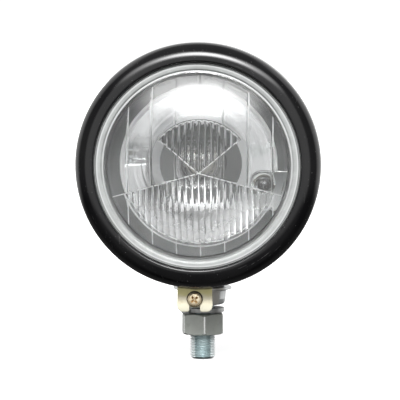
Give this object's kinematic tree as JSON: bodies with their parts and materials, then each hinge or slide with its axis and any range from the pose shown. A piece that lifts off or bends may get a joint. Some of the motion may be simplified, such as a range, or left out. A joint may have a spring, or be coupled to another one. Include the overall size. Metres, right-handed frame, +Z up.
{
  "type": "tractor work light",
  "caption": "Round sealed work lamp with a fluted domed glass lens in a black rim and bowl, on a threaded stud with a tilting saddle",
  "frame": {"origin": "on the stud axis at the saddle cup's underside, where the vehicle's bracket bears", "axes": "+Z up along the stud, lamp faces -Y, +X to the right when the lamp is seen from the front"},
  "size_m": [0.115, 0.0939, 0.1522],
  "materials": {
    "black_enamel": "gloss black stoved enamel, chipped at its edges",
    "zinc_stud": "blue-white zinc on rolled thread",
    "zinc_bright": "bright zinc",
    "zinc_dull": "dulled zinc with a grey-green bloom",
    "spring_steel": "spring steel, zinc flashed",
    "zinc_yellow": "yellow passivated zinc, pale and worn",
    "rubber_black": "moulded black rubber",
    "lens_glass": "pressed clear glass, fluted inside",
    "bulb_glass": "blown clear glass",
    "reflector_silver": "vacuum silvered steel under clear lacquer",
    "brass_plain": "plain stamped brass",
    "brass_nickel": "nickel plated brass",
    "phenolic": "brown pressed phenolic board",
    "fibre_washer": "dark vulcanised fibre",
    "solder": "dull solder",
    "tungsten": "coiled tungsten wire"
  },
  "bodies": {
    "mount": {"stud": "zinc_stud", "saddle_cup": "zinc_bright"},
    "lock": {"spring_washer": "spring_steel"},
    "nut": {"mounting_nut": "zinc_dull"},
    "swivel": {"clamp_dome": "zinc_bright"},
    "lamp": {"bowl": "black_enamel", "screw_lug": "zinc_yellow", "lug_nut": "zinc_bright", "dust_seal": "rubber_black", "cable_grommet": "rubber_black"},
    "front": {"rim": "black_enamel", "rim_hook": "black_enamel", "rim_clip": "zinc_yellow", "lens": "lens_glass", "lens_gasket": "rubber_black", "reflector": "reflector_silver", "retaining_clips": "spring_steel", "holder_collar": "zinc_bright"},
    "screw_seat": {"screw_washer": "fibre_washer"},
    "screw": {"rim_screw": "zinc_yellow"},
    "holder": {"bulb_holder": "zinc_bright", "holder_gasket": "rubber_black", "holder_insulator": "phenolic", "live_terminal": "brass_plain", "earth_terminal": "zinc_bright", "contact_spring": "spring_steel"},
    "bulb": {"bulb_cap": "brass_nickel", "bulb_glass": "bulb_glass", "bulb_contact": "solder", "filament": "tungsten", "filament_mount": "bulb_glass", "contact_plunger": "brass_plain"},
    "pilot": {"pilot_holder": "zinc_bright", "pilot_insulator": "phenolic", "pilot_terminal": "brass_plain", "pilot_cap": "brass_nickel", "pilot_glass": "bulb_glass", "pilot_filament": "tungsten"}
  },
  "joints": [
    {"name": "swivel", "type": "hinge", "parent": "mount", "child": "swivel", "pos_m": [0, 0, 0], "axis": [0, 0, 1], "continuous": true},
    {"name": "tilt", "type": "hinge", "parent": "swivel", "child": "lamp", "pos_m": [0, 0, 0.01827], "axis": [1, 0, 0], "range_deg": [-12, 12]},
    {"name": "nut_travel", "type": "slide", "parent": "mount", "child": "lock", "axis": [0, 0, -1], "range_m": [-0.001, 0.01]},
    {"name": "nut_turn", "type": "hinge", "parent": "lock", "child": "nut", "pos_m": [0, 0, -0.0094], "axis": [0, 0, -1], "range_deg": [-300, 2900]},
    {"name": "rim_open", "type": "hinge", "parent": "lamp", "child": "front", "pos_m": [0, -0.0286, 0.1225], "axis": [-1, 0, 0], "range_deg": [0, 40]},
    {"name": "screw_travel", "type": "slide", "parent": "front", "child": "screw_seat", "axis": [0, -1, 0], "range_m": [0, 0.008]},
    {"name": "screw_turn", "type": "hinge", "parent": "screw_seat", "child": "screw", "pos_m": [-0.0018, -0.033, 0.0054], "axis": [0, -1, 0], "range_deg": [0, 4120]},
    {"name": "holder_turn", "type": "hinge", "parent": "front", "child": "holder", "pos_m": [0, -0.007, 0.0685], "axis": [0, -1, 0], "range_deg": [-30, 0]},
    {"name": "bulb_press", "type": "slide", "parent": "holder", "child": "bulb", "axis": [0, 1, 0], "range_m": [0, 0.0015], "stiffness_N_per_m": 2500, "springref_m": -0.002, "deforming": ["contact_spring"]},
    {"name": "pilot_pull", "type": "slide", "parent": "front", "child": "pilot", "axis": [0, 1, 0], "range_m": [0, 0.013]}
  ],
  "couplings": [
    {"joint": "nut_turn", "follows": "nut_travel", "rad_per_m": 5026.5},
    {"joint": "screw_turn", "follows": "screw_travel", "rad_per_m": 8976}
  ]
}
